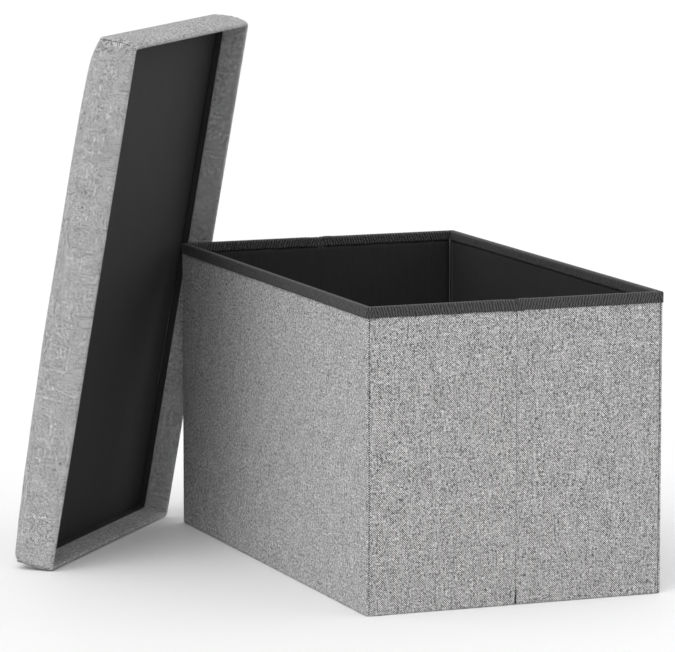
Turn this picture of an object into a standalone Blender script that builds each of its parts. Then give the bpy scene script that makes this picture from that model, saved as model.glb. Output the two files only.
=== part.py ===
"""Folding storage ottoman: an open box whose ends crease inward, and a loose padded lid leaning on it.

Metres, +Z up. The origin is on the floor at the middle of the box's base. The box is long along Y,
its two creased ends are at low and high Y, and the lid leans on the box's corner at low X, high Y.
"""

import math

import bmesh
import bpy
from mathutils import Matrix, Vector

# Box, measured over the rim binding.
BOX_LENGTH = 0.638
BOX_WIDTH = 0.377
BOX_HEIGHT = 0.361

# Sheet thicknesses, and the air that stays between any two pieces that touch.
COVER_T = 0.0009
WALL_BOARD_T = 0.0040
LINING_T = 0.0008
BINDING_T = 0.0008
BASE_BOARD_T = 0.0025
GAP = 0.0003

BINDING_HEIGHT = 0.0130
CORNER_GAP = 0.0005
CREASE_GAP = 0.0006

# The wall boards stop this far short of their cover's ends, where the cloth turns a corner or creases.
BOARD_MARGIN = 0.0034

# The base's two flaps are cut back at 45 degrees, and this much more, so that the ends can fold in past them.
FLAP_MARGIN = 0.034

# Lid, drawn as it sits on the box: its rim is at Z 0 and its padded top faces up.
LID_CLEARANCE = 0.0016
SKIRT_BOARD_T = 0.0030
RECESS_DEPTH = 0.0404
INNER_TURN_HEIGHT = 0.0310
TOP_BOARD_T = 0.0040
TOP_BOARD_INSET = 0.0026
FOAM_T = 0.0140
PAD_EDGE_RADIUS = 0.0110
PAD_EDGE_SEGMENTS = 4

# How the lid leans: the heading of its foot line from +X, how far the box's corner is in front of that
# line, how deep that corner reaches into the lid, and the air where the back end meets the lid's skirt.
LEAN_HEADING = math.radians(49.65)
LEAN_STAND_OFF = 0.0330
LEAN_REACH_IN = 0.0310
LEAN_CONTACT_GAP = 0.0010

WALL_T = 2 * (BINDING_T + GAP) + COVER_T + GAP + WALL_BOARD_T + GAP + LINING_T
COVER_AT = BINDING_T + GAP
BOARD_AT = COVER_AT + COVER_T + GAP
LINING_AT = BOARD_AT + WALL_BOARD_T + GAP
PANEL_TOP = BOX_HEIGHT - BINDING_T - GAP
SHEET_FOOT = COVER_T + GAP

LOW_X = -BOX_WIDTH / 2
HIGH_X = BOX_WIDTH / 2
LOW_Y = -BOX_LENGTH / 2
HIGH_Y = BOX_LENGTH / 2

SKIRT_BOARD_AT = COVER_T + GAP
SKIRT_TURN_AT = SKIRT_BOARD_AT + SKIRT_BOARD_T + GAP
SKIRT_T = SKIRT_TURN_AT + COVER_T
LID_LENGTH = BOX_LENGTH + 2 * (LID_CLEARANCE + SKIRT_T)
LID_WIDTH = BOX_WIDTH + 2 * (LID_CLEARANCE + SKIRT_T)
TOP_BOARD_AT = RECESS_DEPTH + LINING_T + GAP
FOAM_AT = TOP_BOARD_AT + TOP_BOARD_T + GAP
LID_COVER_AT = FOAM_AT + FOAM_T + GAP
LID_THICKNESS = LID_COVER_AT + COVER_T
SKIRT_TOP = TOP_BOARD_AT - 2 * GAP


def empty_the_scene():
    for item in list(bpy.data.objects):
        bpy.data.objects.remove(item)


def collection(name):
    made = bpy.data.collections.new(name)
    bpy.context.scene.collection.children.link(made)
    return made


def material(name, colour, roughness):
    made = bpy.data.materials.new(name)
    made.use_nodes = True
    shader = made.node_tree.nodes["Principled BSDF"]
    shader.inputs["Base Color"].default_value = (*colour, 1.0)
    shader.inputs["Roughness"].default_value = roughness
    shader.inputs["Metallic"].default_value = 0.0
    made.diffuse_color = (*colour, 1.0)
    return made


class Body:
    """Pieces that move as one. Its empty is on its joint's axis, at the point drawn_at of their drawing."""

    def __init__(self, name, drawn_at, parent=None, placed=None):
        self.drawn_at = Vector(drawn_at)
        self.empty = bpy.data.objects.new(name + "_axis", None)
        parts.objects.link(self.empty)
        if placed is None:
            placed = Matrix.Translation(self.drawn_at)
        self.placed = placed
        if parent is not None:
            self.empty.parent = parent.empty
            placed = parent.placed.inverted() @ placed
        self.empty.matrix_basis = placed


def block(name, low, high, group=None):
    """A box between two corners, with its origin at its middle."""
    low = Vector(low)
    high = Vector(high)
    mesh = bpy.data.meshes.new(name)
    shape = bmesh.new()
    bmesh.ops.create_cube(shape, size=1.0, matrix=Matrix.Diagonal((*(high - low), 1.0)))
    shape.to_mesh(mesh)
    shape.free()
    made = bpy.data.objects.new(name, mesh)
    (group or parts).objects.link(made)
    made.location = (low + high) / 2
    return made


def piece(name, body, low, high, finish):
    """A box that belongs to a body."""
    made = block(name, low, high)
    made.data.materials.append(finish)
    made.parent = body.empty
    made.location -= body.drawn_at
    return made


def hollow(target, body, low, high):
    """Cuts a box out of a piece and returns the box, which is in the same drawing as the piece."""
    cutter = block(target.name + "_cutter", low, high, cutters)
    cutter.parent = body.empty
    cutter.location -= body.drawn_at
    cutter.hide_render = True
    cutter.display_type = "WIRE"
    cut = target.modifiers.new("pocket", "BOOLEAN")
    cut.operation = "DIFFERENCE"
    cut.solver = "EXACT"
    cut.object = cutter
    return cutter


def span(run, start, end, side, near, far, bottom, top):
    """The corners of a box that runs from start to end along one axis and lies near to far in from a side.

    run is 0 for a wall along X and 1 for a wall along Y. side is the wall's outer plane on the other
    axis: a negative one is a wall that faces the low way, so its thickness runs towards high.
    """
    inward = 1 if side < 0 else -1
    across = sorted((side + inward * near, side + inward * far))
    along = (start, end)
    if run == 0:
        return (along[0], across[0], bottom), (along[1], across[1], top)
    return (across[0], along[0], bottom), (across[1], along[1], top)


def wall(name, body, run, start, end, side):
    """One stiff wall panel: board, outer cover, black lining, and the binding over its top edge."""
    inset = BINDING_T + GAP
    board_inset = inset + BOARD_MARGIN
    lining_inset = inset + COVER_T + GAP
    deep = LINING_AT + LINING_T
    low, high = span(run, start + inset, end - inset, side, COVER_AT, deep, 0, PANEL_TOP)
    cover = piece(name + "_cover", body, low, high, linen)
    pocket_start = start + inset + COVER_T
    pocket_end = end - inset - COVER_T
    pocket = span(run, pocket_start, pocket_end, side, COVER_AT + COVER_T, 2 * deep, -GAP, 2 * PANEL_TOP)
    hollow(cover, body, *pocket)

    ends = (start + board_inset, end - board_inset)
    low, high = span(run, *ends, side, BOARD_AT, BOARD_AT + WALL_BOARD_T, SHEET_FOOT, PANEL_TOP)
    piece(name + "_board", body, low, high, fibreboard)
    ends = (start + lining_inset, end - lining_inset)
    low, high = span(run, *ends, side, LINING_AT, deep, SHEET_FOOT, PANEL_TOP)
    piece(name + "_lining", body, low, high, black_lining)

    foot = BOX_HEIGHT - BINDING_HEIGHT
    low, high = span(run, start, end, side, 0, WALL_T, foot, BOX_HEIGHT)
    binding = piece(name + "_rim_binding", body, low, high, black_binding)
    pocket = span(
        run, start + BINDING_T, end - BINDING_T, side, BINDING_T, WALL_T - BINDING_T,
        foot - GAP, BOX_HEIGHT - BINDING_T,
    )
    hollow(binding, body, *pocket)


def walls():
    """The two long walls, and the two ends as pairs of panels that meet at a crease."""
    inner_low_x = LOW_X + WALL_T
    inner_high_x = HIGH_X - WALL_T
    wall("left_wall", left_wall, 1, LOW_Y, HIGH_Y, LOW_X)
    wall("right_wall", right_wall, 1, LOW_Y, HIGH_Y, HIGH_X)
    left_run = (inner_low_x + CORNER_GAP, -CREASE_GAP / 2)
    right_run = (CREASE_GAP / 2, inner_high_x - CORNER_GAP)
    wall("front_end_left", front_end_left, 0, *left_run, LOW_Y)
    wall("front_end_right", front_end_right, 0, *right_run, LOW_Y)
    wall("back_end_left", back_end_left, 0, *left_run, HIGH_Y)
    wall("back_end_right", back_end_right, 0, *right_run, HIGH_Y)


def flap(name, body, side, bottom, thickness, finish):
    """A half of the base: as long as the box at the wall, and cut back at 45 degrees to the middle."""
    inward = 1 if side < 0 else -1
    near = side + inward * (WALL_T + CORNER_GAP)
    far = -inward * CREASE_GAP / 2
    half_length = BOX_LENGTH / 2 - WALL_T - FLAP_MARGIN
    low = (min(near, far), -half_length, bottom)
    high = (max(near, far), half_length, bottom + thickness)
    made = piece(name, body, low, high, finish)
    cut_back = abs(far - near)
    for vertex in made.data.vertices:
        if vertex.co.x * inward > 0:
            vertex.co.y -= math.copysign(cut_back, vertex.co.y)


def base():
    """The cloth sewn along the feet of the walls, and the two lined flaps that stiffen it."""
    inner = (LOW_X + WALL_T + GAP, LOW_Y + WALL_T + GAP)
    piece("base_cloth", left_wall, (*inner, 0), (-inner[0], -inner[1], LINING_T), black_lining)
    flap("base_flap_left_board", base_flap_left, LOW_X, FLAP_BOARD_AT, BASE_BOARD_T, fibreboard)
    flap("base_flap_left_lining", base_flap_left, LOW_X, FLAP_LINING_AT, LINING_T, black_lining)
    flap("base_flap_right_board", base_flap_right, HIGH_X, FLAP_BOARD_AT, BASE_BOARD_T, fibreboard)
    flap("base_flap_right_lining", base_flap_right, HIGH_X, FLAP_LINING_AT, LINING_T, black_lining)


def lid_skirt(name, run, start, end, side):
    """One side of the skirt: board, cover turned in over its edge, and the black strip above the turn."""
    low, high = span(run, start, end, side, 0, SKIRT_T, 0, SKIRT_TOP)
    cover = piece(name + "_cover", lid, low, high, linen)
    pocket = span(
        run, start + COVER_T, end - COVER_T, side, COVER_T, SKIRT_TURN_AT, COVER_T, 2 * SKIRT_TOP
    )
    hollow(cover, lid, *pocket)
    trim = span(
        run, start - GAP, end + GAP, side, SKIRT_TURN_AT - GAP, 2 * SKIRT_T, INNER_TURN_HEIGHT, 2 * SKIRT_TOP
    )
    hollow(cover, lid, *trim)
    inset = COVER_T + GAP
    board_ends = (start + SKIRT_T, end - SKIRT_T) if run == 1 else (start + inset, end - inset)
    low, high = span(
        run, *board_ends, side, SKIRT_BOARD_AT, SKIRT_BOARD_AT + SKIRT_BOARD_T, inset, SKIRT_TOP
    )
    piece(name + "_board", lid, low, high, fibreboard)
    strip_ends = (start + SKIRT_T + GAP, end - SKIRT_T - GAP) if run == 1 else (start, end)
    low, high = span(
        run, *strip_ends, side, SKIRT_TURN_AT, SKIRT_TURN_AT + LINING_T,
        INNER_TURN_HEIGHT + GAP, RECESS_DEPTH - GAP,
    )
    piece(name + "_strip", lid, low, high, black_lining)


def lid_pieces():
    """The lid: top board, foam, the cover over them, four skirt sides and the black panel underneath."""
    half_x = LID_WIDTH / 2
    half_y = LID_LENGTH / 2
    lid_skirt("lid_skirt_left", 1, -half_y, half_y, -half_x)
    lid_skirt("lid_skirt_right", 1, -half_y, half_y, half_x)
    short_run = (-half_x + SKIRT_T + GAP, half_x - SKIRT_T - GAP)
    lid_skirt("lid_skirt_foot", 0, *short_run, -half_y)
    lid_skirt("lid_skirt_head", 0, *short_run, half_y)

    def slab(name, inset, bottom, top, finish):
        low = (inset - half_x, inset - half_y, bottom)
        high = (half_x - inset, half_y - inset, top)
        return piece(name, lid, low, high, finish)

    slab("lid_lining_panel", SKIRT_TURN_AT, RECESS_DEPTH, RECESS_DEPTH + LINING_T, black_lining)
    slab("lid_top_board", TOP_BOARD_INSET, TOP_BOARD_AT, TOP_BOARD_AT + TOP_BOARD_T, fibreboard)
    foam_inset = COVER_T + GAP
    pad = slab("lid_foam_pad", foam_inset, FOAM_AT, FOAM_AT + FOAM_T, foam)
    round_top(pad, PAD_EDGE_RADIUS - foam_inset)
    cover = slab("lid_top_cover", 0, SKIRT_TOP + GAP, LID_THICKNESS, linen)
    round_top(cover, PAD_EDGE_RADIUS)
    void_low = (COVER_T - half_x, COVER_T - half_y, 0)
    void = hollow(cover, lid, void_low, (-void_low[0], -void_low[1], LID_COVER_AT))
    round_top(void, PAD_EDGE_RADIUS - COVER_T)


def round_top(made, radius):
    """Rounds the four top edges of a box, by bevel weight."""
    weights = made.data.attributes.new("bevel_weight_edge", "FLOAT", "EDGE")
    for edge in made.data.edges:
        ends = [made.data.vertices[i].co for i in edge.vertices]
        on_top = all(end.z > 0 for end in ends)
        weights.data[edge.index].value = 1.0 if on_top else 0.0
    bevel = made.modifiers.new("rounding", "BEVEL")
    bevel.limit_method = "WEIGHT"
    bevel.width = radius
    bevel.segments = PAD_EDGE_SEGMENTS


def leaning_lid():
    """The lid's body: it stands on the rim edge of one short side and leans on the box.

    Seen along the foot line, the box's corner is LEAN_STAND_OFF in front of the foot, BOX_HEIGHT up and
    LEAN_REACH_IN behind the rim plane, which gives the tilt. The top edge of the box's back end comes
    out of the recess just where the rim of the lid's skirt is, and there the lid rests on it.
    """
    along_foot = Vector((math.cos(LEAN_HEADING), math.sin(LEAN_HEADING), 0))
    level = Vector((math.sin(LEAN_HEADING), -math.cos(LEAN_HEADING), 0))
    reach = math.hypot(LEAN_STAND_OFF, BOX_HEIGHT)
    tilt = math.asin(LEAN_REACH_IN / reach) + math.atan2(LEAN_STAND_OFF, BOX_HEIGHT)
    up_the_lid = level * math.sin(tilt) + Vector((0, 0, math.cos(tilt)))
    opening = level * math.cos(tilt) - Vector((0, 0, math.sin(tilt)))

    way_out = LEAN_REACH_IN / math.cos(tilt) / math.tan(LEAN_HEADING)
    corner_to_side = SKIRT_T + way_out + LEAN_CONTACT_GAP
    corner = Vector((LOW_X, HIGH_Y, 0))
    foot = corner - along_foot * (LID_WIDTH / 2 - corner_to_side) - level * LEAN_STAND_OFF
    axis_rise = LID_THICKNESS / (1 + math.sin(tilt))
    turn = Matrix((-along_foot, up_the_lid, -opening)).transposed().to_4x4()
    placed = Matrix.Translation(foot - opening * axis_rise) @ turn
    return Body("lid", (0, -LID_LENGTH / 2, axis_rise), left_wall, placed)


empty_the_scene()
parts = collection("storage_ottoman")
cutters = collection("cutters")

linen = material("grey_linen", (0.36, 0.36, 0.36), 0.95)
black_lining = material("black_nonwoven", (0.020, 0.020, 0.021), 0.85)
black_binding = material("black_binding", (0.035, 0.035, 0.037), 0.75)
fibreboard = material("fibreboard", (0.40, 0.29, 0.19), 0.85)
foam = material("foam", (0.85, 0.82, 0.70), 0.95)

FLAP_BOARD_AT = LINING_T + GAP
FLAP_LINING_AT = FLAP_BOARD_AT + BASE_BOARD_T + GAP
FLAP_TOP = FLAP_LINING_AT + LINING_T

INNER_X = BOX_WIDTH / 2 - WALL_T
INNER_Y = BOX_LENGTH / 2 - WALL_T

# The long wall at low X stays put. Each end hangs on the inner corners and creases at its outer face.
left_wall = Body("left_wall", (LOW_X, 0, 0))
front_end_left = Body("front_end_left", (-INNER_X, -INNER_Y, 0), left_wall)
front_end_right = Body("front_end_right", (0, LOW_Y, 0), front_end_left)
right_wall = Body("right_wall", (INNER_X, -INNER_Y, 0), front_end_right)
back_end_left = Body("back_end_left", (-INNER_X, INNER_Y, 0), left_wall)
back_end_right = Body("back_end_right", (0, HIGH_Y, 0), back_end_left)
base_flap_left = Body("base_flap_left", (-INNER_X, 0, FLAP_TOP), left_wall)
base_flap_right = Body("base_flap_right", (INNER_X, 0, FLAP_TOP), right_wall)
lid = leaning_lid()

walls()
base()
lid_pieces()
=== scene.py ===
import math

import bmesh
import bpy
from mathutils import Matrix, Vector, noise


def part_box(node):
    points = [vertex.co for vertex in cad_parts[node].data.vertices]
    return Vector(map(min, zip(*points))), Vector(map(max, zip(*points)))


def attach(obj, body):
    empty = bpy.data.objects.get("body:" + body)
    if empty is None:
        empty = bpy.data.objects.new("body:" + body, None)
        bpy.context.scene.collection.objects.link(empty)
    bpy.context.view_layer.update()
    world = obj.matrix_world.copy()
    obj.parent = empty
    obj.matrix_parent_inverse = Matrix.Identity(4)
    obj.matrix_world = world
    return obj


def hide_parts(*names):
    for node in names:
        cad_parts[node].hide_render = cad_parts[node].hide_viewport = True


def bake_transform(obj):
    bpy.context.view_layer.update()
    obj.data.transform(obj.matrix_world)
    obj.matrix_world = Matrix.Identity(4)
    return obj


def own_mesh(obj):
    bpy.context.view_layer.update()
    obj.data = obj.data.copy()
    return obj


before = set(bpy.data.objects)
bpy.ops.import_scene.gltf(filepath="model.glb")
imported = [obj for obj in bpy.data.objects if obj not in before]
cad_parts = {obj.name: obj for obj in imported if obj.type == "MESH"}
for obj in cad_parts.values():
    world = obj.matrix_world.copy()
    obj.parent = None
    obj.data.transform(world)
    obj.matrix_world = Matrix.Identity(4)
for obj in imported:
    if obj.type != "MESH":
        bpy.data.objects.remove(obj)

FLOOR_HALF = 30.0
CAMERA_PLACE = (-2.1093, -5.1321, 1.0864)
CAMERA_HEADING = math.radians(21.39)
CAMERA_DIP = math.radians(8.199)
CAMERA_LENS = 243.8

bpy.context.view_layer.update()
scene = bpy.context.scene
scene.view_settings.view_transform = "Standard"
scene.view_settings.look = "None"


def finish_mesh(name, shape, *finishes):
    """Makes a smooth-shaded object of a bmesh and gives it its materials."""
    mesh = bpy.data.meshes.new(name)
    shape.to_mesh(mesh)
    shape.free()
    for polygon in mesh.polygons:
        polygon.use_smooth = True
    made = bpy.data.objects.new(name, mesh)
    scene.collection.objects.link(made)
    for finish in finishes:
        made.data.materials.append(finish)
    return made


pale_floor = bpy.data.materials.new("pale_floor")
pale_floor.use_nodes = True
pale_floor.node_tree.nodes["Principled BSDF"].inputs["Base Color"].default_value = (0.95, 0.95, 0.95, 1.0)
pale_floor.node_tree.nodes["Principled BSDF"].inputs["Roughness"].default_value = 0.6
floor_shape = bmesh.new()
bmesh.ops.create_grid(floor_shape, x_segments=1, y_segments=1, size=FLOOR_HALF)
floor = finish_mesh("studio_floor", floor_shape, pale_floor)
floor.location.z = -0.0004

world = bpy.data.worlds.new("white_studio")
world.use_nodes = True
sky = world.node_tree
way = sky.nodes.new("ShaderNodeTexCoord")
ways = sky.nodes.new("ShaderNodeSeparateXYZ")
sky.links.new(way.outputs["Generated"], ways.inputs[0])
sideways = sky.nodes.new("ShaderNodeMath")
sideways.operation = "MULTIPLY"
sky.links.new(ways.outputs[0], sideways.inputs[0])
sky.links.new(ways.outputs[0], sideways.inputs[1])
from_sides = sky.nodes.new("ShaderNodeMath")
from_sides.operation = "MULTIPLY_ADD"
from_sides.inputs[1].default_value = 0.62
from_sides.inputs[2].default_value = 0.46
sky.links.new(sideways.outputs[0], from_sides.inputs[0])
from_above = sky.nodes.new("ShaderNodeMath")
from_above.operation = "MULTIPLY_ADD"
from_above.inputs[1].default_value = 0.32
sky.links.new(ways.outputs[2], from_above.inputs[0])
sky.links.new(from_sides.outputs[0], from_above.inputs[2])
sky.links.new(from_above.outputs[0], sky.nodes["Background"].inputs["Strength"])
sky.nodes["Background"].inputs["Color"].default_value = (1.0, 1.0, 1.0, 1.0)
scene.world = world

key = bpy.data.lights.new("key_light", "SUN")
key.energy = 1.10
key.angle = math.radians(46.0)
key_lamp = bpy.data.objects.new("key_light", key)
key_way = Vector((math.cos(math.radians(230.0)), math.sin(math.radians(230.0)), math.tan(math.radians(56.0))))
key_lamp.rotation_euler = (-key_way).to_track_quat("-Z", "Y").to_euler()
scene.collection.objects.link(key_lamp)

camera = bpy.data.objects.new("camera", bpy.data.cameras.new("camera"))
camera.data.lens = CAMERA_LENS
camera.data.sensor_width = 36.0
camera.data.clip_end = 100.0
camera.location = CAMERA_PLACE
camera.rotation_euler = (math.pi / 2 - CAMERA_DIP, 0.0, -CAMERA_HEADING)
scene.collection.objects.link(camera)
scene.camera = camera

# Stiffening boards: brown fibreboard cut to size, hidden between the cover and the lining of every
# wall, flap and side of the lid. Each keeps its own shape, and only takes the look of pressed fibre.
BOARD_TONE = (0.20, 0.165, 0.13)


class Nodes:
    """Short ways to make and link a material's nodes."""

    def __init__(self, name, roughness):
        self.material = bpy.data.materials.new(name)
        self.material.use_nodes = True
        self.tree = self.material.node_tree
        self.shader = self.tree.nodes["Principled BSDF"]
        self.shader.inputs["Roughness"].default_value = roughness

    def make(self, kind, **settings):
        node = self.tree.nodes.new(kind)
        for key, value in settings.items():
            setattr(node, key, value)
        return node

    def put(self, socket, value):
        if isinstance(value, bpy.types.NodeSocket):
            self.tree.links.new(value, socket)
        else:
            socket.default_value = value

    def math(self, operation, a, b=0.0, clamp=False):
        node = self.make("ShaderNodeMath", operation=operation, use_clamp=clamp)
        self.put(node.inputs[0], a)
        self.put(node.inputs[1], b)
        return node.outputs[0]

    def mix(self, share, a, b):
        node = self.make("ShaderNodeMix", data_type="FLOAT")
        self.put(node.inputs["Factor"], share)
        self.put(node.inputs["A"], a)
        self.put(node.inputs["B"], b)
        return node.outputs["Result"]

    def grey(self, level):
        node = self.make("ShaderNodeCombineColor")
        for socket in node.inputs:
            self.put(socket, level)
        return node.outputs[0]

    def point(self, x, y, z=0.0):
        node = self.make("ShaderNodeCombineXYZ")
        for socket, value in zip(node.inputs, (x, y, z)):
            self.put(socket, value)
        return node.outputs[0]

    def noise(self, place, scale, detail=2.0):
        node = self.make("ShaderNodeTexNoise")
        self.put(node.inputs["Vector"], place)
        node.inputs["Scale"].default_value = scale
        node.inputs["Detail"].default_value = detail
        return node.outputs["Fac"]

    def bump(self, height, strength, distance, under=None):
        node = self.make("ShaderNodeBump")
        node.inputs["Strength"].default_value = strength
        node.inputs["Distance"].default_value = distance
        self.put(node.inputs["Height"], height)
        if under is not None:
            self.put(node.inputs["Normal"], under)
        return node.outputs[0]



def pressed_fibre():
    nodes = Nodes("fibreboard", 0.88)
    place = nodes.make("ShaderNodeTexCoord").outputs["Object"]
    fibres = nodes.noise(place, 420.0, 4.0)
    clouds = nodes.noise(place, 24.0, 2.0)
    level = nodes.math("ADD", nodes.math("MULTIPLY", fibres, 0.7), nodes.math("MULTIPLY", clouds, 0.5))
    colour = nodes.make("ShaderNodeMix", data_type="RGBA")
    nodes.put(colour.inputs[0], level)
    colour.inputs[6].default_value = (*[tone * 0.6 for tone in BOARD_TONE], 1.0)
    colour.inputs[7].default_value = (*[tone * 1.35 for tone in BOARD_TONE], 1.0)
    nodes.put(nodes.shader.inputs["Base Color"], colour.outputs[2])
    nodes.put(nodes.shader.inputs["Normal"], nodes.bump(fibres, 0.3, 0.0003))
    return nodes.material


fibreboard = pressed_fibre()
for name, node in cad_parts.items():
    if name.endswith("_board"):
        node.data.materials.clear()
        node.data.materials.append(fibreboard)

# Base cloth: one thin black sheet sewn along the feet of all four walls. It lies flat on the floor while the
# box is open.
CLOTH_STEP = 0.0055
LINING_TONE = 0.020


def weave_axes(nodes):
    """The two directions of the cloth, in metres: across it and up it."""
    cloth = nodes.make("ShaderNodeUVMap", uv_map="weave")
    parts = nodes.make("ShaderNodeSeparateXYZ")
    nodes.put(parts.inputs[0], cloth.outputs[0])
    return parts.outputs[0], parts.outputs[1]


def bonded_black():
    """Black bonded cloth: a mat of fine fibres with a faint grid of welded points."""
    nodes = Nodes("black_nonwoven", 0.78)
    across, up = weave_axes(nodes)
    points_across = nodes.math("SINE", nodes.math("MULTIPLY", across, math.pi / 0.0011))
    points_up = nodes.math("SINE", nodes.math("MULTIPLY", up, math.pi / 0.0011))
    welds = nodes.math("MULTIPLY", points_across, points_up)
    fibres = nodes.noise(nodes.point(across, up, 2.0), 1500.0, 2.0)
    streaks = nodes.noise(nodes.point(nodes.math("MULTIPLY", across, 5.0), up, 5.0), 40.0, 3.0)
    level = nodes.math("ADD", nodes.math("MULTIPLY", fibres, 0.9), nodes.math("MULTIPLY", streaks, 0.5))
    level = nodes.math("MULTIPLY", nodes.math("ADD", level, 0.3), LINING_TONE)
    nodes.put(nodes.shader.inputs["Base Color"], nodes.grey(level))
    relief = nodes.math("ADD", nodes.math("MULTIPLY", welds, 0.5), fibres)
    nodes.put(nodes.shader.inputs["Normal"], nodes.bump(relief, 0.35, 0.00025))
    nodes.shader.inputs["Specular IOR Level"].default_value = 0.28
    nodes.shader.inputs["Sheen Weight"].default_value = 0.05
    nodes.shader.inputs["Sheen Roughness"].default_value = 0.5
    return nodes.material


black_cloth = bonded_black()


def cloth_grid(shape, columns, rows, place, cut_at=0.0):
    """Adds a sheet to a mesh: place(column, row) puts each crossing, and the first number of each is
    how far along the cloth it is, from where the sheet was cut off the roll."""
    weave = shape.loops.layers.uv.get("weave") or shape.loops.layers.uv.new("weave")
    last_column = len(columns) - 1
    last_row = len(rows) - 1
    made = bmesh.ops.create_grid(shape, x_segments=last_column, y_segments=last_row, size=0.5)["verts"]
    crossings = {}
    for vert in made:
        crossings[vert] = (round((vert.co.x + 0.5) * last_column), round((vert.co.y + 0.5) * last_row))
    faces = {face for vert in made for face in vert.link_faces}
    for face in faces:
        for loop in face.loops:
            i, j = crossings[loop.vert]
            loop[weave].uv = (cut_at + columns[i][0], rows[j][0])
    for vert, (i, j) in crossings.items():
        vert.co = place(columns[i], rows[j])
    return faces


def cloth(name, columns, rows, place, outward, thickness, *finishes):
    """A sheet of cloth with its thickness behind it: outward points out of its first column."""
    shape = bmesh.new()
    cloth_grid(shape, columns, rows, place, 0.7313 * len(name))
    bmesh.ops.remove_doubles(shape, verts=shape.verts, dist=0.00002)
    bmesh.ops.dissolve_degenerate(shape, edges=shape.edges, dist=0.00001)
    bmesh.ops.recalc_face_normals(shape, faces=shape.faces)
    middle = (columns[len(columns) // 2], rows[len(rows) // 2])
    aim = place(*middle)
    nearest = min(shape.faces, key=lambda face: (face.calc_center_median() - aim).length)
    if nearest.normal.dot(Vector(outward)) < 0:
        bmesh.ops.reverse_faces(shape, faces=shape.faces)
    shape.normal_update()
    back = [(vert, vert.normal.copy()) for vert in shape.verts]
    faces = shape.faces[:]
    bmesh.ops.extrude_face_region(shape, geom=faces, use_keep_orig=True)
    for vert, normal in back:
        vert.co -= normal * thickness
    bmesh.ops.recalc_face_normals(shape, faces=shape.faces)
    return finish_mesh(name, shape, *finishes)


def even(low, high, step):
    """Places from low to high, about a step apart."""
    count = max(1, round(abs(high - low) / step))
    return [low + (high - low) * i / count for i in range(count + 1)]


def with_runs(places):
    """Each of some places as (itself,), for a sheet whose places are also how far along it they are."""
    return [(place,) for place in places]


def slack(seed, depth, across, up):
    """Faint waves of a cloth that isn't pulled quite flat."""
    broad = noise.noise(Vector((across * 9.0, up * 7.0, seed)))
    fine = noise.noise(Vector((across * 38.0, up * 16.0, seed + 4.0)))
    return depth * (broad + 0.35 * fine)


base_low, base_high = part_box("base_cloth")


def on_base_cloth(column, row):
    return Vector((column[0], row[0], base_high.z - 0.00015 + slack(3.0, 0.0001, column[0], row[0])))


base_cloth = cloth(
    "base_sheet",
    with_runs(even(base_low.x, base_high.x, 0.012)),
    with_runs(even(base_low.y, base_high.y, 0.012)),
    on_base_cloth,
    (0.0, 0.0, 1.0),
    0.0005,
    black_cloth,
)
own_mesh(base_cloth)
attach(base_cloth, "left_wall")
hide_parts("base_cloth")

# Base flaps: a board in each half of the base, hinged at the foot of a long wall. The lining over it
# is the same black cloth, glued down and cut back at 45 degrees with the board.
for side in ("left", "right"):
    flap_low, flap_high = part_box("base_flap_" + side + "_lining")
    wall_x = flap_low.x if side == "left" else flap_high.x
    reach = flap_high.x - flap_low.x
    away = 1.0 if side == "left" else -1.0

    def on_flap(column, row):
        out, share = column[0], row[1]
        half = flap_high.y - out
        bow = slack(7.0 + away, 0.00025, out, share * half)
        return Vector((wall_x + away * out, share * half, flap_high.z - 0.0003 + bow))

    rows = [(y, y / flap_high.y) for y in even(-flap_high.y, flap_high.y, 0.009)]
    columns = with_runs(even(0.0, reach, 0.009))
    flap = cloth("flap_lining_" + side, columns, rows, on_flap, (0.0, 0.0, 1.0), 0.0005, black_cloth)
    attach(flap, "base_flap_" + side)
    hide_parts("base_flap_" + side + "_lining")

# Outer covers of the long walls: grey melange linen, a plain weave of slubby dark and pale yarns,
# glued over the board. Each wraps round both of its wall's corners and ends in a seam just past them.
YARN_PITCH = 0.00136
LINEN_TONE = 0.310
LINEN_SPREAD = 1.35
CLOTH_T = 0.0009
CORNER_RADIUS = 0.0024
SEAM_AT = 0.0007
UNDER_BINDING = 0.004


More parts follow.
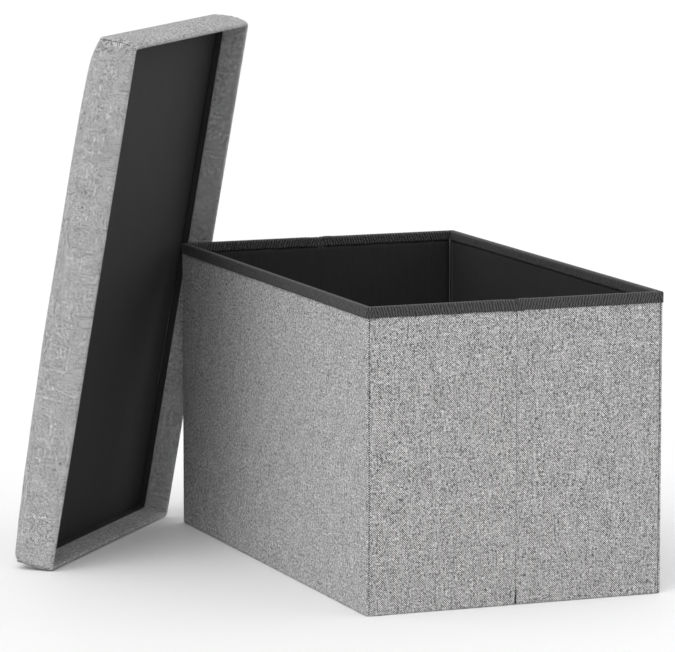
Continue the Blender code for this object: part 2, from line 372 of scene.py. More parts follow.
def melange_linen(name, tone, pitch):
    nodes = Nodes(name, 0.95)
    across, up = weave_axes(nodes)
    warp_wave = nodes.math("SINE", nodes.math("MULTIPLY", across, math.pi / pitch))
    weft_wave = nodes.math("SINE", nodes.math("MULTIPLY", up, math.pi / pitch))
    crossing = nodes.math("MULTIPLY", warp_wave, weft_wave)
    on_top = nodes.math("ADD", nodes.math("MULTIPLY", crossing, 2.0), 0.5, clamp=True)
    warp_height = nodes.math("POWER", nodes.math("ABSOLUTE", warp_wave), 0.6)
    weft_height = nodes.math("POWER", nodes.math("ABSOLUTE", weft_wave), 0.6)
    height = nodes.mix(on_top, weft_height, warp_height)
    yarn = 1.0 / pitch

    def yarn_dye(length, seed):
        """Uneven dye along the yarns of both directions, in lengths of so many yarns."""
        thin_across = nodes.math("MULTIPLY", across, yarn)
        long_up = nodes.math("MULTIPLY", up, yarn / length)
        long_across = nodes.math("MULTIPLY", across, yarn / length)
        thin_up = nodes.math("MULTIPLY", up, yarn)
        warp = nodes.noise(nodes.point(thin_across, long_up, seed), 0.9, 1.0)
        weft = nodes.noise(nodes.point(long_across, thin_up, seed + 7.0), 0.9, 1.0)
        return nodes.mix(on_top, weft, warp)

    flecks = nodes.noise(nodes.point(across, up, 11.0), 1.12 * yarn, 1.0)
    along_warp = nodes.math("MULTIPLY", up, yarn / 16.0)
    along_weft = nodes.math("MULTIPLY", across, yarn / 12.0)
    thick_warp = nodes.point(nodes.math("MULTIPLY", across, yarn), along_warp, 31.0)
    thick_weft = nodes.point(along_weft, nodes.math("MULTIPLY", up, yarn), 41.0)
    slubs_up = nodes.noise(thick_warp, 0.62, 1.0)
    slubs_across = nodes.noise(thick_weft, 0.62, 1.0)
    knots = nodes.noise(nodes.point(across, up, 17.0), 0.45 * yarn, 1.0)
    clouds = nodes.noise(nodes.point(across, up, 3.0), 38.0, 3.0)
    total = yarn_dye(3.0, 1.0)
    total = nodes.math("ADD", total, nodes.math("MULTIPLY", yarn_dye(14.0, 21.0), 0.4))
    total = nodes.math("ADD", total, nodes.math("MULTIPLY", flecks, 0.75))
    total = nodes.math("ADD", total, nodes.math("MULTIPLY", knots, 0.75))
    total = nodes.math("ADD", total, nodes.math("MULTIPLY", slubs_up, 0.24))
    total = nodes.math("ADD", total, nodes.math("MULTIPLY", slubs_across, 0.06))
    total = nodes.math("ADD", total, nodes.math("MULTIPLY", clouds, 0.12))
    total = nodes.math("ADD", total, nodes.math("MULTIPLY", on_top, 0.50))
    spread = nodes.math("MULTIPLY", nodes.math("SUBTRACT", total, 1.91), 4.0 * LINEN_SPREAD)
    level = nodes.math("MULTIPLY", nodes.math("ADD", spread, 1.0), tone)
    level = nodes.math("MINIMUM", nodes.math("MAXIMUM", level, 0.06), 0.85)
    # Painted shade: the colour is darkened where the yarns dip, down to 0.76 of it between them.
    hollow_shade = nodes.math("ADD", nodes.math("MULTIPLY", height, 0.3), 0.76)
    nodes.put(nodes.shader.inputs["Base Color"], nodes.grey(nodes.math("MULTIPLY", level, hollow_shade)))
    relief = nodes.math("ADD", height, nodes.math("MULTIPLY", total, 0.8))
    nodes.put(nodes.shader.inputs["Normal"], nodes.bump(relief, 0.55, 0.00035))
    nodes.shader.inputs["Specular IOR Level"].default_value = 0.18
    nodes.shader.inputs["Sheen Weight"].default_value = 0.12
    nodes.shader.inputs["Sheen Roughness"].default_value = 0.6
    return nodes.material


linen = melange_linen("grey_melange_linen", LINEN_TONE, YARN_PITCH)

cover_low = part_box("left_wall_cover")[0]
cover_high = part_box("right_wall_cover")[1]
rim_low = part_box("left_wall_rim_binding")[0]
rim_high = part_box("right_wall_rim_binding")[1]
wall_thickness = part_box("left_wall_rim_binding")[1].x - rim_low.x
hinge_x = rim_high.x - wall_thickness
hinge_y = rim_high.y - wall_thickness


def wall_columns(low, high, side, radius, turned, step):
    """The plan of a long wall's sheet, round one corner, along the wall and round the other.

    Each column is (how far along, where(depth)), and where gives the point that deep inside the
    sheet's outer face. The sheet lies in the box from low to high, on its low (-1) or high (+1) side.
    """
    wall_x = low.x if side < 0 else high.x
    inside = -side

    def on_turn(end, past):
        end_y = low.y if end < 0 else high.y
        return lambda depth: Vector((wall_x + inside * max(radius + past, depth), end_y - end * depth))

    def on_corner(end, angle):
        end_y = low.y if end < 0 else high.y

        def where(depth):
            left = max(radius - depth, 0.0)
            deep = max(depth - radius, 0.0)
            centre = Vector((wall_x + inside * (radius + deep), end_y - end * (radius + deep)))
            return centre + Vector((-inside * math.cos(angle), end * math.sin(angle))) * left

        return where

    def on_wall(y):
        return lambda depth: Vector((wall_x + inside * depth, max(low.y + depth, min(high.y - depth, y))))

    angles = [math.pi / 2 * i / 6 for i in range(7)]
    path = [on_turn(-1, past) for past in reversed(even(0.0, turned, 0.001)[1:])]
    path += [on_corner(-1, angle) for angle in reversed(angles)]
    path += [on_wall(y) for y in even(low.y + radius, high.y - radius, step)[1:-1]]
    path += [on_corner(1, angle) for angle in angles]
    path += [on_turn(1, past) for past in even(0.0, turned, 0.001)[1:]]
    return measured(path)


def measured(path):
    """Each place of a path in plan with how far along it is."""
    run = 0.0
    columns = []
    for index, where in enumerate(path):
        if index:
            run += (where(0.0) - path[index - 1](0.0)).length
        columns.append((run, where))
    return columns


hem_rows = [0.0, 0.0005, 0.0011, 0.0018, 0.0032, 0.006]
cover_rows = with_runs(hem_rows + even(0.0105, rim_low.z + UNDER_BINDING, CLOTH_STEP))


def hem(height):
    """How far a cover is drawn in where it goes round the foot of its board."""
    return 0.0011 * max(0.0, 1.0 - height / 0.0019) ** 2


def pucker(run, height, places):
    """How far cloth stands out in small gathers, each given as where along, how wide and how tall."""
    total = 0.0
    for place, width, tall in places:
        total += math.exp(-(((run - place) / width) ** 2) - (height / tall) ** 2)
    return 0.0006 * total


turned_in_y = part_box("right_wall_board")[1].y + CLOTH_T + 0.0003


def turned_in(past):
    """Where the right wall's sheet goes over the back end of its board, so far past the seam."""
    return lambda depth: Vector((cover_high.x - CORNER_RADIUS - SEAM_AT - past, turned_in_y))


for side, body in ((-1, "left_wall"), (1, "right_wall")):
    columns = wall_columns(cover_low, cover_high, side, CORNER_RADIUS, SEAM_AT, CLOTH_STEP)
    length = columns[-1][0]
    if side > 0:
        columns += [(length + past, turned_in(past)) for past in (0.0007, 0.0022, 0.0038)]
    gathers = ((0.014, 0.005, 0.040), (0.030, 0.008, 0.028), (length - 0.014, 0.005, 0.040))

    def on_cover(column, row):
        run, height = column[0], row[0]
        to_seam = max(0.0, min(run, length - run))
        tuck = 0.0009 * max(0.0, 1.0 - to_seam / 0.0011)
        out = slack(side * 5.0, 0.0005, run, height) + pucker(run, height, gathers)
        deep = hem(height) + tuck - out * min(1.0, to_seam / 0.02)
        return Vector((*column[1](deep), height))

    cover = cloth(body + "_linen", columns, cover_rows, on_cover, (side, 0.0, 0.0), CLOTH_T, linen)
    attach(cover, body)
    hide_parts(body + "_cover")

# Outer covers of the creased ends: the same linen over each half's board, from the corner seam to the
# crease, where the two halves meet in a faint ridge with a slit at its foot.
CREASE_ROLL = 0.0022
CREASE_RISE = 0.0010
ENDS = (
    ("front_end_left", "left_wall", -1, -1),
    ("front_end_right", "right_wall", -1, 1),
    ("back_end_left", "left_wall", 1, -1),
    ("back_end_right", "right_wall", 1, 1),
)


def end_columns(low, high, end, side, seam, crease, step):
    """The plan of the sheet over half of an end, from its corner seam to its crease."""
    end_y = low.y if end < 0 else high.y
    half_width = high.x
    reach = half_width - seam - crease

    def on_end(x):
        return lambda depth: Vector((side * x, end_y - end * depth))

    near_seam = [reach - past for past in (0.0, 0.0005, 0.0012, 0.0022)]
    flat = even(reach - 0.0045, 0.0068, step)
    near_crease = [0.0052, 0.0042, 0.0032, 0.0023, 0.0015, 0.0008, 0.0003, 0.0]
    return measured([on_end(crease + x) for x in near_seam + flat + near_crease])


for body, wall, end, side in ENDS:
    seam = CORNER_RADIUS + SEAM_AT + 0.0003
    columns = end_columns(cover_low, cover_high, end, side, seam, 0.0003, CLOTH_STEP)
    length = columns[-1][0]
    gathers = ((0.007, 0.004, 0.030), (0.018, 0.006, 0.020))
    foot_of_rim = cover_rows[-1][0] - UNDER_BINDING

    def on_end_cover(column, row):
        run, height = column[0], row[0]
        to_crease = length - run
        ridge = CREASE_RISE * math.exp(-((to_crease / CREASE_ROLL) ** 2))
        ridge *= min(1.0, max(0.0, (foot_of_rim - height) / 0.014))
        pinch = math.exp(-((to_crease / 0.009) ** 2))
        pinch *= math.exp(-((height / 0.024) ** 2)) + 0.6 * math.exp(-(((foot_of_rim - height) / 0.010) ** 2))
        tuck = 0.0009 * max(0.0, 1.0 - run / 0.0011)
        out = slack(end * 3.0 + side, 0.0006, run, height) + pucker(run, height, gathers)
        hold = min(1.0, run / 0.02, 0.15 + to_crease / 0.03)
        deep = hem(height) + tuck - ridge + 0.0012 * pinch - out * hold
        point = column[1](deep)
        apart = 0.0010 * math.exp(-((to_crease / 0.003) ** 2)) * max(0.0, 1.0 - height / 0.026)
        return Vector((point.x + side * apart, point.y, height))

    cover = cloth(body + "_linen", columns, cover_rows, on_end_cover, (0.0, end, 0.0), CLOTH_T, linen)
    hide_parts(body + "_cover")
    if body == "back_end_right":
        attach(cover, body)
    else:
        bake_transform(cover)

# Crease tape: a strip of black cloth glued inside the crease of each end, over the gap between
# the two boards, so that the halves stay joined when the end folds in.
TAPE_HALF = 0.0040

# A sheet's flat side may not be under 10 mm, so the crease tapes and the lid's strip are declared this
# wide. They are narrower: the tapes 8.1 mm and the strip about 9.1 mm.
for end, name in ((-1, "front"), (1, "back")):
    end_y = cover_low.y if end < 0 else cover_high.y

    def on_tape(column, row):
        return Vector((column[0], end_y - end * (0.0031 - 0.0002 * abs(column[0]) / TAPE_HALF), row[0]))

    tape = cloth(name + "_crease_tape", with_runs(even(-TAPE_HALF, TAPE_HALF, 0.0008)),
                 with_runs(even(0.030, foot_of_rim, 0.012)), on_tape, (0.0, end, 0.0), 0.0007, black_cloth)
    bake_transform(tape)

# Corner seams: black thread sewn through the two covers where they turn in just past each corner,
# a row of short stitches down in the groove.
STITCH_PITCH = 0.0034
STITCH_LONG = 0.0026
STITCH_THICK = 0.0007


def sewing_thread(name, tone):
    nodes = Nodes(name, 0.7)
    place = nodes.make("ShaderNodeTexCoord").outputs["Object"]
    twist = nodes.noise(place, 2400.0, 1.0)
    nodes.put(nodes.shader.inputs["Base Color"], nodes.grey(nodes.math("MULTIPLY", twist, tone)))
    nodes.put(nodes.shader.inputs["Normal"], nodes.bump(twist, 0.4, 0.0002))
    return nodes.material


thread = sewing_thread("dark_thread", 0.05)


def add_stitch(shape, middle, along, thick):
    """One short stitch, a slim bead of thread that points along a direction."""
    turn = Vector(along).to_track_quat("Z", "Y").to_matrix().to_4x4()
    size = Matrix.Diagonal((thick / 2, thick / 2, STITCH_LONG / 2, 1.0))
    bmesh.ops.create_uvsphere(
        shape, u_segments=6, v_segments=4, radius=1.0, matrix=Matrix.Translation(middle) @ turn @ size
    )


for body, wall, end, side in ENDS:
    end_y = cover_low.y if end < 0 else cover_high.y
    seam_x = side * (cover_high.x - CORNER_RADIUS - SEAM_AT - 0.00015)
    shape = bmesh.new()
    for height in even(0.004, foot_of_rim, STITCH_PITCH):
        add_stitch(shape, Vector((seam_x, end_y - end * 0.0008, height)), (0.0, 0.0, 1.0), STITCH_THICK)
    # Painted shade: a dark strip of the thread's colour fills the groove behind the stitches all the way up,
    # so the seam line reads dark.
    groove_shade_strip = Vector((seam_x, end_y - end * 0.0013, foot_of_rim / 2 + 0.001))
    size = Matrix.Diagonal((0.0007, 0.0004, foot_of_rim / 2 - 0.001, 1.0))
    strip = bmesh.ops.create_cube(shape, size=2.0, matrix=Matrix.Translation(groove_shade_strip) @ size)
    edges = list({edge for vert in strip["verts"] for edge in vert.link_edges})
    bmesh.ops.bevel(shape, geom=edges, offset=0.0002, affect="EDGES", segments=2, profile=0.5, material=-1)
    seam_thread = finish_mesh(body + "_corner_seam", shape, thread)
    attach(seam_thread, wall)

# Linings of the long walls: black bonded cloth glued over the inside of each board.
lining_face = wall_thickness - 0.0011
lining_rows = with_runs(even(0.0045, foot_of_rim + UNDER_BINDING, 0.009))
for side, body in ((-1, "left_wall"), (1, "right_wall")):
    wall_x = rim_low.x if side < 0 else rim_high.x

    def on_lining(column, row):
        bow = slack(side * 2.0 + 9.0, 0.0004, column[0], row[0])
        return Vector((wall_x - side * (lining_face + bow), column[0], row[0]))

    columns = with_runs(even(-hinge_y - 0.0006, hinge_y + 0.0006, 0.009))
    lining = cloth(body + "_black_lining", columns, lining_rows, on_lining,
                   (-side, 0.0, 0.0), 0.0006, black_cloth)
    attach(lining, body)
    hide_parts(body + "_lining")

# Linings of the creased ends: one sheet across both halves of each end. It is glued to both boards
# and bends at the crease, where it keeps a fine pressed line.
for end, name in ((-1, "front"), (1, "back")):
    end_y = rim_low.y if end < 0 else rim_high.y

    def on_end_lining(column, row):
        bow = slack(end * 4.0 + 13.0, 0.0005, column[0], row[0]) * min(1.0, abs(column[0]) / 0.02)
        press = 0.0008 * math.exp(-((column[0] / 0.0012) ** 2))
        press -= 0.0005 * math.exp(-((column[0] / 0.007) ** 2))
        return Vector((column[0], end_y - end * (lining_face + bow - press), row[0]))

    half = even(0.012, hinge_x + 0.0006, 0.009)
    fold = [0.0, 0.0005, 0.001, 0.0016, 0.0024, 0.0035, 0.005, 0.0065, 0.008, 0.010]
    places = [-x for x in reversed(fold[1:] + half)] + fold + half
    lining = cloth(name + "_end_black_lining", with_runs(places), lining_rows, on_end_lining,
                   (0.0, -end, 0.0), 0.0006, black_cloth)
    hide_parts(name + "_end_left_lining", name + "_end_right_lining")
    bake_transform(lining)

# Inner corner seams: the linings of a wall and an end are sewn together into a narrow lip that
# stands in each inner corner, from the base to the rim.
# The lip is a real seam, but its pale grey, far lighter than the black lining, is a painted glint along the
# inner corner.
glint_lip_finish = sewing_thread("seam_lip_painted_glint", 0.15)
for body, wall, end, side in ENDS:
    lip = Vector((side * (hinge_x - 0.0006), end * (hinge_y - 0.0006), 0.0))
    shape = bmesh.new()
    rows = even(0.006, foot_of_rim + 0.002, 0.014)
    ring = bmesh.ops.create_circle(shape, segments=8, radius=0.0009, cap_ends=True)["verts"]
    bmesh.ops.translate(shape, verts=ring, vec=lip + Vector((0.0, 0.0, rows[0])))
    face = shape.faces[:]
    for low, high in zip(rows, rows[1:]):
        grown = bmesh.ops.extrude_face_region(shape, geom=face)["geom"]
        moved = [item for item in grown if isinstance(item, bmesh.types.BMVert)]
        wander = Vector((0.00012 * math.sin(high * 90.0), 0.00012 * math.cos(high * 70.0), high - low))
        bmesh.ops.translate(shape, verts=moved, vec=wander)
        if low > rows[0]:
            bmesh.ops.delete(shape, geom=face, context="FACES_ONLY")
        face = [item for item in grown if isinstance(item, bmesh.types.BMFace)]
    bmesh.ops.recalc_face_normals(shape, faces=shape.faces)
    lip_piece = finish_mesh(body + "_inner_seam", shape, glint_lip_finish)
    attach(lip_piece, wall)

# Rim bindings: black tape embossed with slanting ridges, folded over the top edge of every wall and
# sewn through. It goes round each corner with its wall, and dips a little at each crease.
BINDING_TONE = 0.046
BINDING_T = 0.0007
RIM_ROUND = 0.0024


def ridged_tape():
    nodes = Nodes("black_binding_tape", 0.55)
    across, up = weave_axes(nodes)
    slant = nodes.math("ADD", across, nodes.math("MULTIPLY", up, 0.30))
    wobble = nodes.noise(nodes.point(across, up, 1.0), 160.0, 2.0)
    slant = nodes.math("ADD", slant, nodes.math("MULTIPLY", wobble, 0.0048))
    ridge = nodes.math("SINE", nodes.math("MULTIPLY", slant, 2.0 * math.pi / 0.0036))
    broken = nodes.noise(nodes.point(across, up, 9.0), 420.0, 2.0)
    height = nodes.math("ADD", nodes.math("MULTIPLY", ridge, 0.5), broken)
    # The colour follows this relief, lighter on the ridge tops and darker in the grooves: painted highlight
    # and painted shade, plus random tone from the broken noise.
    level = nodes.math("MULTIPLY", nodes.math("ADD", nodes.math("MULTIPLY", height, 1.5), 0.15), BINDING_TONE)
    level = nodes.math("MAXIMUM", level, 0.006)
    nodes.put(nodes.shader.inputs["Base Color"], nodes.grey(level))
    nodes.put(nodes.shader.inputs["Normal"], nodes.bump(height, 0.9, 0.0010))
    nodes.shader.inputs["Specular IOR Level"].default_value = 0.35
    nodes.shader.inputs["Sheen Weight"].default_value = 0.08
    return nodes.material


binding_tape = ridged_tape()
rim_foot = rim_low.z
rim_top = rim_high.z


def tape_rows(inner):
    """Section of the tape: up its outer leg, over the wall's top edge and down its inner leg."""
    section = [(0.0, height) for height in even(rim_foot, rim_top - RIM_ROUND, 0.0021)]
    for i in range(1, 6):
        angle = math.pi / 2 * i / 5
        section.append((RIM_ROUND * (1.0 - math.cos(angle)), rim_top - RIM_ROUND * (1.0 - math.sin(angle))))
    section += [(depth, rim_top) for depth in even(RIM_ROUND, inner - RIM_ROUND, 0.0018)[1:]]
    for i in range(1, 6):
        angle = math.pi / 2 * i / 5
        depth = inner - RIM_ROUND * (1.0 - math.sin(angle))
        section.append((depth, rim_top - RIM_ROUND * (1.0 - math.cos(angle))))
    down = even(rim_foot + 0.001, rim_top - RIM_ROUND, 0.0021)[:-1]
    section += [(inner, height) for height in reversed(down)]
    rows = []
    run = 0.0
    for index, (depth, height) in enumerate(section):
        if index:
            run += math.hypot(depth - section[index - 1][0], height - section[index - 1][1])
        rows.append((run, depth, height))
    return rows


binding_rows = tape_rows(wall_thickness)


def tape_wave(run, height, seed, size):
    """The tape isn't cut or pulled quite straight: its edges wander and its face ripples."""
    low_down = (rim_top - height) / (rim_top - rim_foot)
    edge = size * 0.6 * noise.noise(Vector((run * 45.0, seed, 0.0))) * low_down
    face = size * 0.5 * noise.noise(Vector((run * 160.0, height * 90.0, seed)))
    return edge, face


for side, body in ((-1, "left_wall"), (1, "right_wall")):
    columns = wall_columns(rim_low, rim_high, side, 0.0030, wall_thickness - 0.0031, CLOTH_STEP)

    def on_binding(column, row):
        run, depth, height = column[0], row[1], row[2]
        edge, face = tape_wave(run, height, side * 6.0, 0.0006)
        inward = 1.0 if depth < wall_thickness / 2 else -1.0
        return Vector((*column[1](max(0.0, depth + inward * max(0.0, face))), height + edge))

    binding = cloth(body + "_rim_tape", columns, binding_rows, on_binding,
                    (0.0, 0.0, 1.0), BINDING_T, binding_tape)
    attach(binding, body)
    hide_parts(body + "_rim_binding")

for body, wall, end, side in ENDS:
    seam = wall_thickness + 0.0001
    columns = end_columns(rim_low, rim_high, end, side, seam, 0.0002, CLOTH_STEP)
    length = columns[-1][0]

    def on_end_binding(column, row):
        run, depth, height = column[0], row[1], row[2]
        to_crease = length - run
        edge, face = tape_wave(run, height, end * 5.0 + side * 2.0, 0.0014)
        hold = min(1.0, run / 0.008)
        dip = 0.0010 * math.exp(-((to_crease / 0.0035) ** 2))
        lift = 0.0005 * math.exp(-(((to_crease - 0.009) / 0.006) ** 2)) * side
        inward = 1.0 if depth < wall_thickness / 2 else -1.0
        deep = depth + inward * (max(0.0, face * hold) + dip)
        return Vector((*column[1](deep), height + edge * hold + lift * hold - 0.5 * dip))

    binding = cloth(body + "_rim_tape", columns, binding_rows, on_end_binding,
                    (0.0, 0.0, 1.0), BINDING_T, binding_tape)
    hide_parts(body + "_rim_binding")
    if body == "back_end_right":
        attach(binding, body)
    else:
        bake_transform(binding)

# Crease laps: a short inner length of the same tape under the binding at each crease, which carries
# the binding across when the two halves fold.
for end, name in ((-1, "front"), (1, "back")):
    end_y = rim_low.y if end < 0 else rim_high.y
    lap_rows = [row for row in tape_rows(wall_thickness)]

    def on_lap(column, row):
        share = row[1] / wall_thickness
        deep = 0.0009 + share * (wall_thickness - 0.0018)
        return Vector((column[0], end_y - end * deep, row[2] - 0.0009))

    lap = cloth(name + "_crease_lap", with_runs(even(-0.010, 0.010, 0.001)), lap_rows, on_lap,
                (0.0, 0.0, 1.0), 0.0002, binding_tape)
    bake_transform(lap)

# Lid cover: one piece of the linen over foam and boards, a shallow tray upside down. Its top is a soft
# crowned pad, its skirt's rim is turned in round the skirt boards, and its four corners are sewn seams.
LEAN_HEADING = math.radians(49.65)
LEAN_TILT = math.radians(10.1287)
LEAN_FOOT = Vector((-0.318762, 0.216641, 0.0))
LID_WIDTH = 0.391
LID_LENGTH = 0.652
RECESS_DEPTH = 0.0404
TURN_HEIGHT = 0.0310
SKIRT_T = 0.0054
LID_CORNER = 0.0055
INNER_CORNER = 0.0055
PAD_ROLL_SIDE = 0.0125
PAD_ROLL_HEAD = 0.0380
PAD_ROLL_FOOT = 0.0120
PAD_SWELL = 0.0042
SIM_STEP = 0.0110

foot_line = Vector((math.cos(LEAN_HEADING), math.sin(LEAN_HEADING), 0.0))
level = Vector((math.sin(LEAN_HEADING), -math.cos(LEAN_HEADING), 0.0))
up_the_lid = level * math.sin(LEAN_TILT) + Vector((0.0, 0.0, math.cos(LEAN_TILT)))
back_of_lid = Vector((0.0, 0.0, math.sin(LEAN_TILT))) - level * math.cos(LEAN_TILT)
lid_turn = Matrix((-foot_line, up_the_lid, back_of_lid)).transposed().to_4x4()
lid_place = Matrix.Translation(LEAN_FOOT) @ lid_turn
lid_place = lid_place @ Matrix.Translation((0.0, LID_LENGTH / 2, 0.0))


def on_lid(x, y, z):
    """A point of the lid's own drawing, in which its rim is at Z 0 and its foot at low Y."""
    return lid_place @ Vector((x, y, z))


def margin_lines(half, step):
    """Grid lines from one side to the other, closer together at the two edges.

    Each is (side, how deep in the edge from 1 at the outside to 0, how far across what is left).
    """
    edge = [1.0, 0.93, 0.82, 0.66, 0.42, 0.0]
    near = [0.0065, 0.0082, 0.0102, 0.0126, 0.0156, 0.0195, 0.0245, 0.030]
    core = half - LID_CORNER
    inner = [1.0 - (place - LID_CORNER) / core for place in near]
    middle = even(-inner[-1], inner[-1], step / core)
    lines = [(-1.0, deep, 1.0) for deep in edge] + [(-1.0, 0.0, share) for share in inner[:-1]]
    lines += [(1.0, 0.0, share) for share in middle]
    lines += [(1.0, 0.0, share) for share in reversed(inner[:-1])]
    return lines + [(1.0, deep, 1.0) for deep in reversed(edge)]


def lid_plan(across, along, inset):
    """Where two grid lines cross, on the rounded outline that is inset by so much."""
    radius = max(LID_CORNER - inset, INNER_CORNER)
    core_x = LID_WIDTH / 2 - inset - radius
    core_y = LID_LENGTH / 2 - inset - radius
    deep_x = across[1]
    deep_y = along[1]
    if deep_x > 0.0 and deep_y > 0.0:
        fit = max(deep_x, deep_y) / math.hypot(deep_x, deep_y)
        deep_x *= fit
        deep_y *= fit
    x = across[0] * (core_x * across[2] + radius * deep_x)
    y = along[0] * (core_y * along[2] + radius * deep_y)
    return x, y


lines_x = margin_lines(LID_WIDTH / 2, 0.0058)
lines_y = margin_lines(LID_LENGTH / 2, 0.0058)


def eased(value, stops):
    """A value between the stops of a list of (where, how much)."""
    if value <= stops[0][0]:
        return stops[0][1]
    for (low, start), (high, end) in zip(stops, stops[1:]):
        if value <= high:
            share = (value - low) / (high - low)
            return start + (end - start) * share * share * (3.0 - 2.0 * share)
    return stops[-1][1]


def swollen_panel():
    """How high each part of a panel swells that is sewn down all round and pressed out from inside."""
    columns = round(LID_WIDTH / SIM_STEP)
    rows = round(LID_LENGTH / SIM_STEP)
    shape = bmesh.new()
    stretch = Matrix.Diagonal((LID_WIDTH, LID_LENGTH, 1.0, 1.0))
    bmesh.ops.create_grid(shape, x_segments=columns, y_segments=rows, size=0.5, matrix=stretch)
    panel = finish_mesh("sewn_panel", shape)
    pinned = panel.vertex_groups.new(name="sewn")
    rim = [v.index for v in panel.data.vertices
           if abs(v.co.x) > LID_WIDTH / 2 - 0.001 or abs(v.co.y) > LID_LENGTH / 2 - 0.001]
    pinned.add(rim, 1.0, "REPLACE")
    swell = panel.modifiers.new("swell", "CLOTH")
    swell.settings.quality = 6
    swell.settings.mass = 0.3
    swell.settings.tension_stiffness = 40.0
    swell.settings.compression_stiffness = 40.0
    swell.settings.bending_stiffness = 2.0
    swell.settings.vertex_group_mass = "sewn"
    swell.settings.use_pressure = True
    swell.settings.uniform_pressure_force = 4.0
    swell.settings.effector_weights.gravity = 0.0
    swell.point_cache.frame_start = 1
    swell.point_cache.frame_end = 20
    for step in range(1, 21):
        scene.frame_set(step)
    settled = panel.evaluated_get(bpy.context.evaluated_depsgraph_get())
    heights = {}
    for vert in settled.data.vertices:
        flat = panel.data.vertices[vert.index].co
        key = (round((flat.x / LID_WIDTH + 0.5) * columns), round((flat.y / LID_LENGTH + 0.5) * rows))
        heights[key] = abs(vert.co.z)
    scene.frame_set(1)
    bpy.data.objects.remove(panel)
    top = max(heights.values())

    def height_at(x, y):
        i = (x / LID_WIDTH + 0.5) * columns
        j = (y / LID_LENGTH + 0.5) * rows
        low_i = min(columns - 1, max(0, int(i)))
        low_j = min(rows - 1, max(0, int(j)))
        part_i = i - low_i
        part_j = j - low_j
        near = heights[(low_i, low_j)] * (1 - part_i) + heights[(low_i + 1, low_j)] * part_i
        far = heights[(low_i, low_j + 1)] * (1 - part_i) + heights[(low_i + 1, low_j + 1)] * part_i
        return (near * (1 - part_j) + far * part_j) / top

    return height_at, top


swell_at, swell_top = swollen_panel()
print("sewn panel swelled by", round(swell_top, 4), "m; only how it spreads is kept")

PAD_EDGE_HEIGHT = 0.0470
FOAM_HEIGHT = (
    (0.0, 0.0548),
    (0.030, 0.0554),
    (0.057, 0.0568),
    (0.120, 0.0586),
    (0.190, 0.0602),
    (0.290, 0.0618),
)


def pad_height(x, y):
    """Height of the pad: its foam, the roll over each edge, the soft corners and the cloth's swell."""
    to_side = LID_WIDTH / 2 - abs(x)
    to_foot = y + LID_LENGTH / 2
    to_head = LID_LENGTH / 2 - y
    roll_x = max(0.0, 1.0 - to_side / PAD_ROLL_SIDE)
    roll_y = max(0.0, 1.0 - to_head / PAD_ROLL_HEAD, 1.0 - to_foot / PAD_ROLL_FOOT)
    rolled = 1.0 - math.sqrt(max(0.0, 1.0 - min(1.0, roll_x * roll_x + roll_y * roll_y)))
    corner = 0.0070 * math.exp(-math.hypot(to_side, to_head) / 0.050)
    corner += 0.0020 * math.exp(-math.hypot(to_side, to_foot) / 0.030)
    swell = PAD_SWELL * min(1.0, 1.25 * swell_at(x, y))
    wave = slack(31.0, 0.0009, x, y) * min(1.0, to_side / 0.03, to_head / 0.03, to_foot / 0.03)
    full = eased(to_foot, FOAM_HEIGHT) + swell + wave - corner
    return PAD_EDGE_HEIGHT + (full - PAD_EDGE_HEIGHT) * (1.0 - rolled)


def on_pad(column, row):
    x, y = lid_plan(column[1], row[1], 0.0)
    return on_lid(x, y, pad_height(x, y))


def lid_outline():
    """The crossings all round the lid's edge, back to the first, each with how far round it is."""
    last_x = len(lines_x) - 1
    last_y = len(lines_y) - 1
    ring = [(i, 0) for i in range(last_x)] + [(last_x, j) for j in range(last_y)]
    ring += [(i, last_y) for i in range(last_x, 0, -1)] + [(0, j) for j in range(last_y, -1, -1)]
    run = 0.0
    columns = []
    for index, (i, j) in enumerate(ring):
        point = Vector(lid_plan(lines_x[i], lines_y[j], 0.0))
        if index:
            run += (point - columns[-1][2]).length
        columns.append((run, (lines_x[i], lines_y[j]), point))
    return columns


def skirt_section():
    """Down the skirt from the pad's edge, round the rim, and up the turned-in cloth to the recess.

    Each is (how far down the cloth, inset, height, share of the way up to the pad's edge).
    """
    rim = SKIRT_T / 2
    section = [(0.0, rim, share) for share in even(1.0, 0.0, 0.09)]
    for i in range(1, 9):
        angle = math.pi * i / 8
        section.append((rim - rim * math.cos(angle), rim - rim * math.sin(angle), 0.0))
    section += [(SKIRT_T, height, 0.0) for height in even(rim, TURN_HEIGHT - 0.0009, 0.005)[1:]]
    section += [(SKIRT_T - 0.0001, TURN_HEIGHT - 0.0004, 0.0), (SKIRT_T - 0.0004, TURN_HEIGHT, 0.0)]
    section += [(SKIRT_T - 0.0008, TURN_HEIGHT, 0.0), (SKIRT_T - 0.0011, TURN_HEIGHT + 0.0003, 0.0)]
    section += [(SKIRT_T - 0.0011, height, 0.0) for height in (0.0350, RECESS_DEPTH + 0.0010)]
    rows = []
    run = 0.0
    for index, (inset, height, share) in enumerate(section):
        if index:
            before = section[index - 1]
            run += math.hypot(inset - before[0], height - before[1]) + abs(share - before[2]) * 0.050
        rows.append((run, inset, height, share))
    return rows


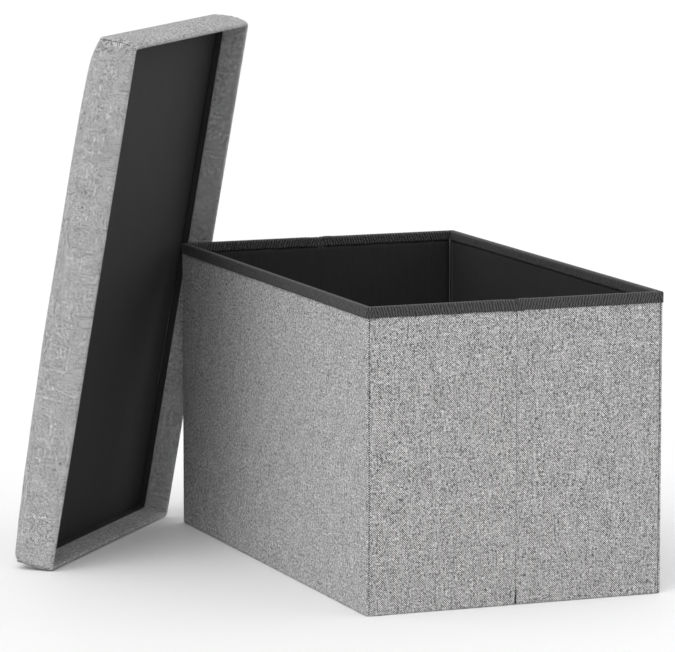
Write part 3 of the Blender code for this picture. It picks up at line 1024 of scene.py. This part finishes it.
def on_skirt(column, row):
    run, inset, height, share = row
    edge_x, edge_y = lid_plan(*column[1], 0.0)
    top = pad_height(edge_x, edge_y)
    if share > 0.0:
        height = SKIRT_T / 2 + (top - SKIRT_T / 2) * share
    bulge = 0.0
    if inset == 0.0:
        rise = math.sin(math.pi * min(1.0, height / top))
        near_head = max(0.0, min(1.0, (edge_y / LID_LENGTH + 0.5)))
        bulge = slack(41.0, 0.0008, column[0], height) * rise + (0.0012 + 0.0012 * near_head) * rise
        bulge += 0.0012 * min(1.0, height / 0.012) * near_head
        for corner_run in corner_runs:
            away = abs(column[0] - corner_run)
            bulge -= 0.0012 * math.exp(-((away / 0.0015) ** 2)) * min(1.0, rise * 3.0 + 0.3)
            crimp = math.sin(height * 900.0 + corner_run * 40.0) * math.exp(-(((away - 0.006) / 0.004) ** 2))
            bulge += 0.0007 * crimp * rise
    x, y = lid_plan(*column[1], inset - bulge)
    return on_lid(x, y, height)


def over_pad(lines, crossing):
    """The grid lines of one direction, each with how far over the pad's curve it is."""
    run = 0.0
    before = None
    columns = []
    for line in lines:
        flat = crossing(line)
        point = Vector((flat.x, flat.y, pad_height(flat.x, flat.y)))
        if before is not None:
            run += (point - before).length
        before = point
        columns.append((run, line))
    return columns


outline = lid_outline()
corner_runs = []
for index in range(1, len(outline) - 1):
    across, along = outline[index][1]
    if across[1] == 1.0 and along[1] == 1.0:
        corner_runs.append(outline[index][0])
corner_runs += [0.0, outline[-1][0]]

shape = bmesh.new()
pad_columns = over_pad(lines_x, lambda line: Vector(lid_plan(line, (1.0, 0.0, 0.0), 0.0)))
pad_rows = over_pad(lines_y, lambda line: Vector(lid_plan((1.0, 0.0, 0.0), line, 0.0)))
cloth_grid(shape, pad_columns, pad_rows, on_pad)
cloth_grid(shape, outline, skirt_section(), on_skirt)
bmesh.ops.remove_doubles(shape, verts=shape.verts, dist=0.00002)
bmesh.ops.holes_fill(shape, edges=[edge for edge in shape.edges if edge.is_boundary], sides=0)
bmesh.ops.recalc_face_normals(shape, faces=shape.faces)
lid_cover = finish_mesh("lid_cover", shape, linen)
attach(lid_cover, "lid")
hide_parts("lid_top_cover", "lid_foam_pad", "lid_skirt_left_cover", "lid_skirt_right_cover",
            "lid_skirt_foot_cover", "lid_skirt_head_cover")

# Lid corner seams: the skirt's cloth is sewn together at each corner with a row of dark stitches that
# climbs from the rim over the soft edge of the pad.
shape = bmesh.new()
for column in outline:
    across, along = column[1]
    if across[1] == 1.0 and along[1] == 1.0:
        for share in even(0.05, 0.98, 0.078):
            add_stitch(shape, on_skirt(column, (0.0, 0.0, 0.0, share)), back_of_lid, 0.0015)
lid_seams = finish_mesh("lid_corner_seams", shape, thread)
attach(lid_seams, "lid")

# Lid recess: a strip of black bonded cloth above the turned-in linen, all round, and a black panel
# glued over the underside of the top board.
recess = (SKIRT_T - 0.0009, SKIRT_T - 0.0001)
strip_rows = [(0.0, recess[1], TURN_HEIGHT + 0.0003)]
strip_heights = even(TURN_HEIGHT + 0.0006, RECESS_DEPTH - 0.0004, 0.003)
strip_rows += [(height, recess[1], height) for height in strip_heights]


def on_strip(column, row):
    bow = slack(51.0, 0.0003, column[0], row[2])
    return on_lid(*lid_plan(*column[1], row[1] + abs(bow)), row[2])


middle_way = -Vector((*outline[len(outline) // 2][2], 0.0))
strip = cloth("lid_black_strip", outline, strip_rows, on_strip,
              lid_place.to_3x3() @ middle_way, 0.0006, black_cloth)
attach(strip, "lid")
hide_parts("lid_skirt_left_strip", "lid_skirt_right_strip", "lid_skirt_foot_strip",
            "lid_skirt_head_strip")


def on_panel(column, row):
    x, y = lid_plan(column[1], row[1], SKIRT_T - 0.0006)
    return on_lid(x, y, RECESS_DEPTH - 0.0001 + slack(61.0, 0.0004, x, y))


panel = cloth("lid_black_panel", pad_columns, pad_rows, on_panel, -back_of_lid, 0.0006, black_cloth)
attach(panel, "lid")
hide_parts("lid_lining_panel")
